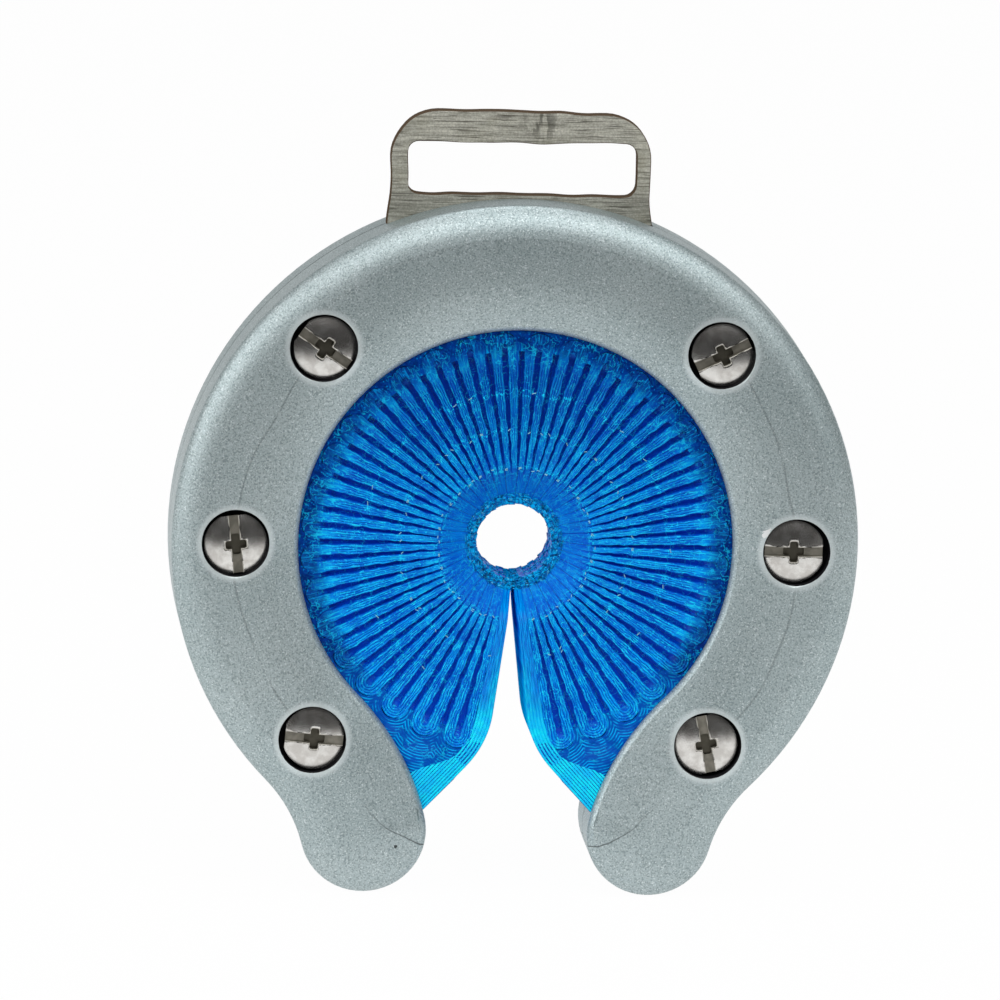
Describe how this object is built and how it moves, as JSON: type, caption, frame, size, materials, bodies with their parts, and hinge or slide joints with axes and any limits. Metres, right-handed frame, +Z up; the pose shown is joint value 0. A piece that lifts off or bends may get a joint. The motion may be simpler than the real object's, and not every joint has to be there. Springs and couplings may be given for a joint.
{
  "type": "rope washer",
  "caption": "Horseshoe rope washer: two moulded half shells clamp a steel hanger plate and a slotted elastic insert whose petals part for a rope and scrub it clean.",
  "frame": {"origin": "on the rope axis, at mid-thickness between the two shells", "axes": "+Z up towards the hanger plate, +X right seen from the front, the rope runs along Y and the front faces -Y"},
  "size_m": [0.098, 0.018, 0.1129],
  "materials": {
    "shell": "grey moulding with a fine metallic fleck",
    "plate": "brushed along its width, raw cut edges",
    "insert": "translucent blue printed elastomer, fine ribs",
    "fastener": "turned stainless steel"
  },
  "bodies": {
    "root": {"front_shell": "shell", "rear_shell": "shell", "hanger_plate": "plate", "insert_band": "insert", "petal_right_17": "insert", "petal_left_17": "insert", "screw_upper_left": "fastener", "screw_upper_right": "fastener", "screw_middle_left": "fastener", "screw_middle_right": "fastener", "screw_lower_left": "fastener", "screw_lower_right": "fastener", "nut_upper_left": "fastener", "nut_upper_right": "fastener", "nut_middle_left": "fastener", "nut_middle_right": "fastener", "nut_lower_left": "fastener", "nut_lower_right": "fastener"},
    "petal_right_01": {"petal_right_01": "insert"},
    "petal_right_02": {"petal_right_02": "insert"},
    "petal_right_03": {"petal_right_03": "insert"},
    "petal_right_04": {"petal_right_04": "insert"},
    "petal_right_05": {"petal_right_05": "insert"},
    "petal_right_06": {"petal_right_06": "insert"},
    "petal_right_07": {"petal_right_07": "insert"},
    "petal_right_08": {"petal_right_08": "insert"},
    "petal_right_09": {"petal_right_09": "insert"},
    "petal_right_10": {"petal_right_10": "insert"},
    "petal_right_11": {"petal_right_11": "insert"},
    "petal_right_12": {"petal_right_12": "insert"},
    "petal_right_13": {"petal_right_13": "insert"},
    "petal_right_14": {"petal_right_14": "insert"},
    "petal_right_15": {"petal_right_15": "insert"},
    "petal_right_16": {"petal_right_16": "insert"},
    "petal_left_01": {"petal_left_01": "insert"},
    "petal_left_02": {"petal_left_02": "insert"},
    "petal_left_03": {"petal_left_03": "insert"},
    "petal_left_04": {"petal_left_04": "insert"},
    "petal_left_05": {"petal_left_05": "insert"},
    "petal_left_06": {"petal_left_06": "insert"},
    "petal_left_07": {"petal_left_07": "insert"},
    "petal_left_08": {"petal_left_08": "insert"},
    "petal_left_09": {"petal_left_09": "insert"},
    "petal_left_10": {"petal_left_10": "insert"},
    "petal_left_11": {"petal_left_11": "insert"},
    "petal_left_12": {"petal_left_12": "insert"},
    "petal_left_13": {"petal_left_13": "insert"},
    "petal_left_14": {"petal_left_14": "insert"},
    "petal_left_15": {"petal_left_15": "insert"},
    "petal_left_16": {"petal_left_16": "insert"}
  },
  "joints": [
    {"name": "flex_right_01", "type": "hinge", "parent": "root", "child": "petal_right_01", "pos_m": [0.0074, 0, -0.02763], "axis": [0, 1, 0], "range_deg": [0, 12], "stiffness_Nm_per_rad": 0.02},
    {"name": "flex_right_02", "type": "hinge", "parent": "root", "child": "petal_right_02", "pos_m": [0.01209, 0, -0.02592], "axis": [0, 1, 0], "range_deg": [0, 11.3], "stiffness_Nm_per_rad": 0.02},
    {"name": "flex_right_03", "type": "hinge", "parent": "root", "child": "petal_right_03", "pos_m": [0.0164, 0, -0.02343], "axis": [0, 1, 0], "range_deg": [0, 10.55], "stiffness_Nm_per_rad": 0.02},
    {"name": "flex_right_04", "type": "hinge", "parent": "root", "child": "petal_right_04", "pos_m": [0.02022, 0, -0.02022], "axis": [0, 1, 0], "range_deg": [0, 9.8], "stiffness_Nm_per_rad": 0.02},
    {"name": "flex_right_05", "type": "hinge", "parent": "root", "child": "petal_right_05", "pos_m": [0.02343, 0, -0.0164], "axis": [0, 1, 0], "range_deg": [0, 9.05], "stiffness_Nm_per_rad": 0.02},
    {"name": "flex_right_06", "type": "hinge", "parent": "root", "child": "petal_right_06", "pos_m": [0.02592, 0, -0.01209], "axis": [0, 1, 0], "range_deg": [0, 8.3], "stiffness_Nm_per_rad": 0.02},
    {"name": "flex_right_07", "type": "hinge", "parent": "root", "child": "petal_right_07", "pos_m": [0.02763, 0, -0.0074], "axis": [0, 1, 0], "range_deg": [0, 7.55], "stiffness_Nm_per_rad": 0.02},
    {"name": "flex_right_08", "type": "hinge", "parent": "root", "child": "petal_right_08", "pos_m": [0.02849, 0, -0.00249], "axis": [0, 1, 0], "range_deg": [0, 6.8], "stiffness_Nm_per_rad": 0.02},
    {"name": "flex_right_09", "type": "hinge", "parent": "root", "child": "petal_right_09", "pos_m": [0.02849, 0, 0.00249], "axis": [0, 1, 0], "range_deg": [0, 6.05], "stiffness_Nm_per_rad": 0.02},
    {"name": "flex_right_10", "type": "hinge", "parent": "root", "child": "petal_right_10", "pos_m": [0.02763, 0, 0.0074], "axis": [0, 1, 0], "range_deg": [0, 5.3], "stiffness_Nm_per_rad": 0.02},
    {"name": "flex_right_11", "type": "hinge", "parent": "root", "child": "petal_right_11", "pos_m": [0.02592, 0, 0.01209], "axis": [0, 1, 0], "range_deg": [0, 4.55], "stiffness_Nm_per_rad": 0.02},
    {"name": "flex_right_12", "type": "hinge", "parent": "root", "child": "petal_right_12", "pos_m": [0.02343, 0, 0.0164], "axis": [0, 1, 0], "range_deg": [0, 3.8], "stiffness_Nm_per_rad": 0.02},
    {"name": "flex_right_13", "type": "hinge", "parent": "root", "child": "petal_right_13", "pos_m": [0.02022, 0, 0.02022], "axis": [0, 1, 0], "range_deg": [0, 3.05], "stiffness_Nm_per_rad": 0.02},
    {"name": "flex_right_14", "type": "hinge", "parent": "root", "child": "petal_right_14", "pos_m": [0.0164, 0, 0.02343], "axis": [0, 1, 0], "range_deg": [0, 2.3], "stiffness_Nm_per_rad": 0.02},
    {"name": "flex_right_15", "type": "hinge", "parent": "root", "child": "petal_right_15", "pos_m": [0.01209, 0, 0.02592], "axis": [0, 1, 0], "range_deg": [0, 1.55], "stiffness_Nm_per_rad": 0.02},
    {"name": "flex_right_16", "type": "hinge", "parent": "root", "child": "petal_right_16", "pos_m": [0.0074, 0, 0.02763], "axis": [0, 1, 0], "range_deg": [0, 0.8], "stiffness_Nm_per_rad": 0.02},
    {"name": "flex_left_01", "type": "hinge", "parent": "root", "child": "petal_left_01", "pos_m": [-0.0074, 0, -0.02763], "axis": [0, -1, 0], "range_deg": [0, 12], "stiffness_Nm_per_rad": 0.02},
    {"name": "flex_left_02", "type": "hinge", "parent": "root", "child": "petal_left_02", "pos_m": [-0.01209, 0, -0.02592], "axis": [0, -1, 0], "range_deg": [0, 11.3], "stiffness_Nm_per_rad": 0.02},
    {"name": "flex_left_03", "type": "hinge", "parent": "root", "child": "petal_left_03", "pos_m": [-0.0164, 0, -0.02343], "axis": [0, -1, 0], "range_deg": [0, 10.55], "stiffness_Nm_per_rad": 0.02},
    {"name": "flex_left_04", "type": "hinge", "parent": "root", "child": "petal_left_04", "pos_m": [-0.02022, 0, -0.02022], "axis": [0, -1, 0], "range_deg": [0, 9.8], "stiffness_Nm_per_rad": 0.02},
    {"name": "flex_left_05", "type": "hinge", "parent": "root", "child": "petal_left_05", "pos_m": [-0.02343, 0, -0.0164], "axis": [0, -1, 0], "range_deg": [0, 9.05], "stiffness_Nm_per_rad": 0.02},
    {"name": "flex_left_06", "type": "hinge", "parent": "root", "child": "petal_left_06", "pos_m": [-0.02592, 0, -0.01209], "axis": [0, -1, 0], "range_deg": [0, 8.3], "stiffness_Nm_per_rad": 0.02},
    {"name": "flex_left_07", "type": "hinge", "parent": "root", "child": "petal_left_07", "pos_m": [-0.02763, 0, -0.0074], "axis": [0, -1, 0], "range_deg": [0, 7.55], "stiffness_Nm_per_rad": 0.02},
    {"name": "flex_left_08", "type": "hinge", "parent": "root", "child": "petal_left_08", "pos_m": [-0.02849, 0, -0.00249], "axis": [0, -1, 0], "range_deg": [0, 6.8], "stiffness_Nm_per_rad": 0.02},
    {"name": "flex_left_09", "type": "hinge", "parent": "root", "child": "petal_left_09", "pos_m": [-0.02849, 0, 0.00249], "axis": [0, -1, 0], "range_deg": [0, 6.05], "stiffness_Nm_per_rad": 0.02},
    {"name": "flex_left_10", "type": "hinge", "parent": "root", "child": "petal_left_10", "pos_m": [-0.02763, 0, 0.0074], "axis": [0, -1, 0], "range_deg": [0, 5.3], "stiffness_Nm_per_rad": 0.02},
    {"name": "flex_left_11", "type": "hinge", "parent": "root", "child": "petal_left_11", "pos_m": [-0.02592, 0, 0.01209], "axis": [0, -1, 0], "range_deg": [0, 4.55], "stiffness_Nm_per_rad": 0.02},
    {"name": "flex_left_12", "type": "hinge", "parent": "root", "child": "petal_left_12", "pos_m": [-0.02343, 0, 0.0164], "axis": [0, -1, 0], "range_deg": [0, 3.8], "stiffness_Nm_per_rad": 0.02},
    {"name": "flex_left_13", "type": "hinge", "parent": "root", "child": "petal_left_13", "pos_m": [-0.02022, 0, 0.02022], "axis": [0, -1, 0], "range_deg": [0, 3.05], "stiffness_Nm_per_rad": 0.02},
    {"name": "flex_left_14", "type": "hinge", "parent": "root", "child": "petal_left_14", "pos_m": [-0.0164, 0, 0.02343], "axis": [0, -1, 0], "range_deg": [0, 2.3], "stiffness_Nm_per_rad": 0.02},
    {"name": "flex_left_15", "type": "hinge", "parent": "root", "child": "petal_left_15", "pos_m": [-0.01209, 0, 0.02592], "axis": [0, -1, 0], "range_deg": [0, 1.55], "stiffness_Nm_per_rad": 0.02},
    {"name": "flex_left_16", "type": "hinge", "parent": "root", "child": "petal_left_16", "pos_m": [-0.0074, 0, 0.02763], "axis": [0, -1, 0], "range_deg": [0, 0.8], "stiffness_Nm_per_rad": 0.02}
  ],
  "couplings": [
    {"joint": "flex_right_02", "follows": "flex_right_01", "ratio": 0.9375},
    {"joint": "flex_right_03", "follows": "flex_right_01", "ratio": 0.875},
    {"joint": "flex_right_04", "follows": "flex_right_01", "ratio": 0.8125},
    {"joint": "flex_right_05", "follows": "flex_right_01", "ratio": 0.75},
    {"joint": "flex_right_06", "follows": "flex_right_01", "ratio": 0.6875},
    {"joint": "flex_right_07", "follows": "flex_right_01", "ratio": 0.625},
    {"joint": "flex_right_08", "follows": "flex_right_01", "ratio": 0.5625},
    {"joint": "flex_right_09", "follows": "flex_right_01", "ratio": 0.5},
    {"joint": "flex_right_10", "follows": "flex_right_01", "ratio": 0.4375},
    {"joint": "flex_right_11", "follows": "flex_right_01", "ratio": 0.375},
    {"joint": "flex_right_12", "follows": "flex_right_01", "ratio": 0.3125},
    {"joint": "flex_right_13", "follows": "flex_right_01", "ratio": 0.25},
    {"joint": "flex_right_14", "follows": "flex_right_01", "ratio": 0.1875},
    {"joint": "flex_right_15", "follows": "flex_right_01", "ratio": 0.125},
    {"joint": "flex_right_16", "follows": "flex_right_01", "ratio": 0.0625},
    {"joint": "flex_left_02", "follows": "flex_left_01", "ratio": 0.9375},
    {"joint": "flex_left_03", "follows": "flex_left_01", "ratio": 0.875},
    {"joint": "flex_left_04", "follows": "flex_left_01", "ratio": 0.8125},
    {"joint": "flex_left_05", "follows": "flex_left_01", "ratio": 0.75},
    {"joint": "flex_left_06", "follows": "flex_left_01", "ratio": 0.6875},
    {"joint": "flex_left_07", "follows": "flex_left_01", "ratio": 0.625},
    {"joint": "flex_left_08", "follows": "flex_left_01", "ratio": 0.5625},
    {"joint": "flex_left_09", "follows": "flex_left_01", "ratio": 0.5},
    {"joint": "flex_left_10", "follows": "flex_left_01", "ratio": 0.4375},
    {"joint": "flex_left_11", "follows": "flex_left_01", "ratio": 0.375},
    {"joint": "flex_left_12", "follows": "flex_left_01", "ratio": 0.3125},
    {"joint": "flex_left_13", "follows": "flex_left_01", "ratio": 0.25},
    {"joint": "flex_left_14", "follows": "flex_left_01", "ratio": 0.1875},
    {"joint": "flex_left_15", "follows": "flex_left_01", "ratio": 0.125},
    {"joint": "flex_left_16", "follows": "flex_left_01", "ratio": 0.0625}
  ]
}
